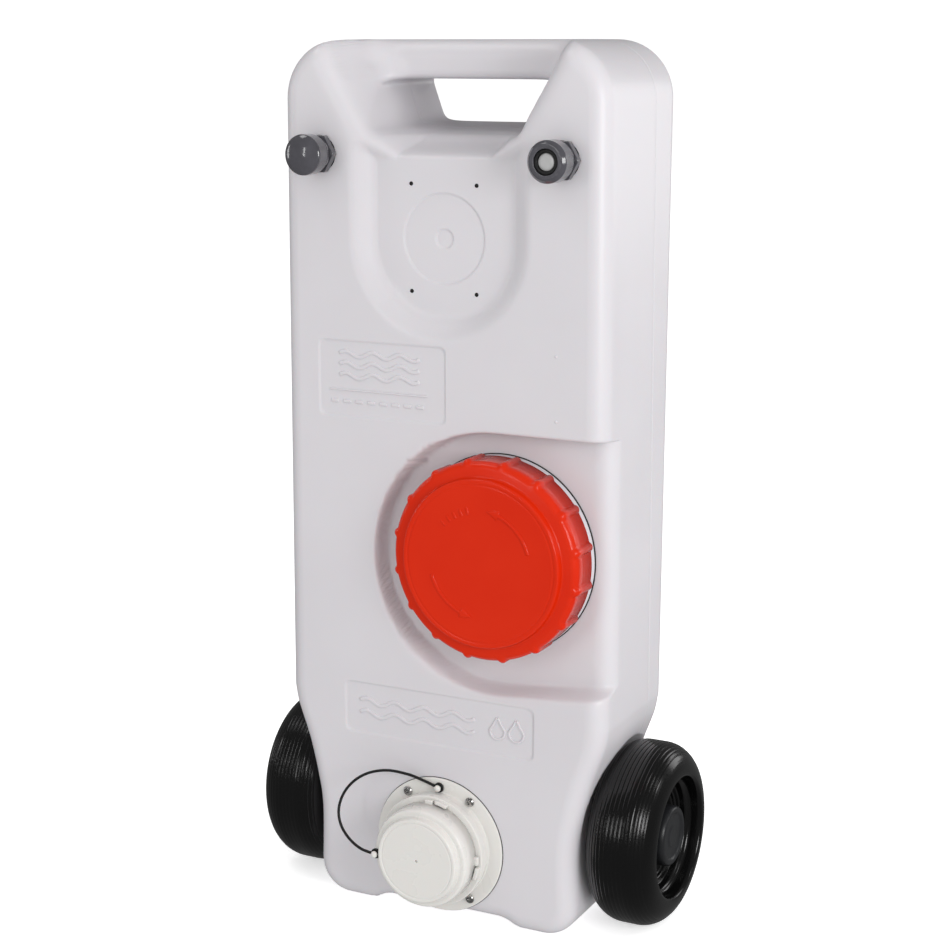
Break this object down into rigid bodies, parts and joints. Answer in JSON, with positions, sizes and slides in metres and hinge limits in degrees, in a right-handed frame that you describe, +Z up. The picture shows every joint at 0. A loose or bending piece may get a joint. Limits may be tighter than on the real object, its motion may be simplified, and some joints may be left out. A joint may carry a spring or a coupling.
{
  "type": "portable waste tote",
  "caption": "Wheeled upright waste-water tank with hand hole, off-centre screw inspection cap, tethered bayonet outlet cap and two screw glands.",
  "frame": {"origin": "on the floor, under the middle of the tote's bounding box", "axes": "+Z up, front face with the caps towards -Y, +X to the right as the front is looked at"},
  "size_m": [0.432, 0.232, 0.85],
  "materials": {
    "tank_polyethylene": "satin rotationally moulded polyethylene",
    "red_cap": "glossy injection-moulded polypropylene",
    "seal_rubber": "smooth black elastomer",
    "outlet_plastic": "satin off-white ABS",
    "steel": "plain stainless steel",
    "gland_nylon": "glossy dark grey nylon",
    "plug_plastic": "satin grey plastic",
    "wheel_plastic": "glossy black blow-moulded polyethylene",
    "hub_cap_plastic": "satin charcoal plastic",
    "bush_nylon": "natural nylon"
  },
  "bodies": {
    "tank": {"tank_body": "tank_polyethylene", "outlet_flange": "outlet_plastic", "outlet_gasket": "seal_rubber", "outlet_screw_1": "steel", "outlet_screw_2": "steel", "outlet_screw_3": "steel", "outlet_screw_4": "steel", "tether_pin_flange": "outlet_plastic", "tether_eye_flange": "seal_rubber", "tether_cord": "seal_rubber", "gland_body_left": "gland_nylon", "gland_body_right": "gland_nylon", "gland_gasket_left": "seal_rubber", "gland_gasket_right": "seal_rubber", "gland_locknut_left": "gland_nylon", "gland_locknut_right": "gland_nylon", "axle": "steel", "axle_washer_left": "steel", "axle_washer_right": "steel", "axle_clip_left": "steel", "axle_clip_right": "steel"},
    "wheel_left": {"wheel_left": "wheel_plastic", "wheel_bush_left": "bush_nylon", "hub_cap_left": "hub_cap_plastic"},
    "wheel_right": {"wheel_right": "wheel_plastic", "wheel_bush_right": "bush_nylon", "hub_cap_right": "hub_cap_plastic"},
    "inspection_seal": {"inspection_cap_seal": "seal_rubber"},
    "inspection_cap": {"inspection_cap": "red_cap"},
    "outlet_seal": {"outlet_cap_seal": "seal_rubber"},
    "outlet_cap": {"outlet_cap": "outlet_plastic", "tether_pin_cap": "outlet_plastic", "tether_eye_cap": "seal_rubber"},
    "gland_core_right": {"gland_seal_right": "seal_rubber", "gland_plug_right": "plug_plastic"},
    "gland_nut_right": {"gland_nut_right": "gland_nylon"},
    "gland_core_left": {"gland_seal_left": "seal_rubber"},
    "gland_cap_left": {"gland_cap_left": "gland_nylon"}
  },
  "joints": [
    {"name": "wheel_left_spin", "type": "hinge", "parent": "tank", "child": "wheel_left", "pos_m": [-0.18, 0.026, 0.09], "axis": [1, 0, 0], "continuous": true},
    {"name": "wheel_right_spin", "type": "hinge", "parent": "tank", "child": "wheel_right", "pos_m": [0.18, 0.026, 0.09], "axis": [1, 0, 0], "continuous": true},
    {"name": "inspection_cap_lift", "type": "slide", "parent": "tank", "child": "inspection_seal", "axis": [0, -1, 0], "range_m": [0, 0.15]},
    {"name": "inspection_cap_turn", "type": "hinge", "parent": "inspection_seal", "child": "inspection_cap", "pos_m": [0.0566, -0.066, 0.3734], "axis": [0, -1, 0], "range_deg": [0, 720]},
    {"name": "outlet_cap_pull", "type": "slide", "parent": "tank", "child": "outlet_seal", "axis": [0, -1, 0], "range_m": [0, 0.07], "deforming": ["tether_cord"]},
    {"name": "outlet_cap_turn", "type": "hinge", "parent": "outlet_seal", "child": "outlet_cap", "pos_m": [0, -0.066, 0.0773], "axis": [0, -1, 0], "range_deg": [0, 45]},
    {"name": "gland_nut_right_travel", "type": "slide", "parent": "tank", "child": "gland_core_right", "axis": [0, -1, 0], "range_m": [0, 0.0046]},
    {"name": "gland_nut_right_turn", "type": "hinge", "parent": "gland_core_right", "child": "gland_nut_right", "pos_m": [0.125, -0.066, 0.745], "axis": [0, -1, 0], "range_deg": [0, 1080]},
    {"name": "gland_cap_left_travel", "type": "slide", "parent": "tank", "child": "gland_core_left", "axis": [0, -1, 0], "range_m": [0, 0.0046]},
    {"name": "gland_cap_left_turn", "type": "hinge", "parent": "gland_core_left", "child": "gland_cap_left", "pos_m": [-0.125, -0.066, 0.745], "axis": [0, -1, 0], "range_deg": [0, 1080]}
  ],
  "couplings": [
    {"joint": "gland_nut_right_travel", "follows": "gland_nut_right_turn", "m_per_rad": 0.00023873},
    {"joint": "gland_cap_left_travel", "follows": "gland_cap_left_turn", "m_per_rad": 0.00023873}
  ]
}
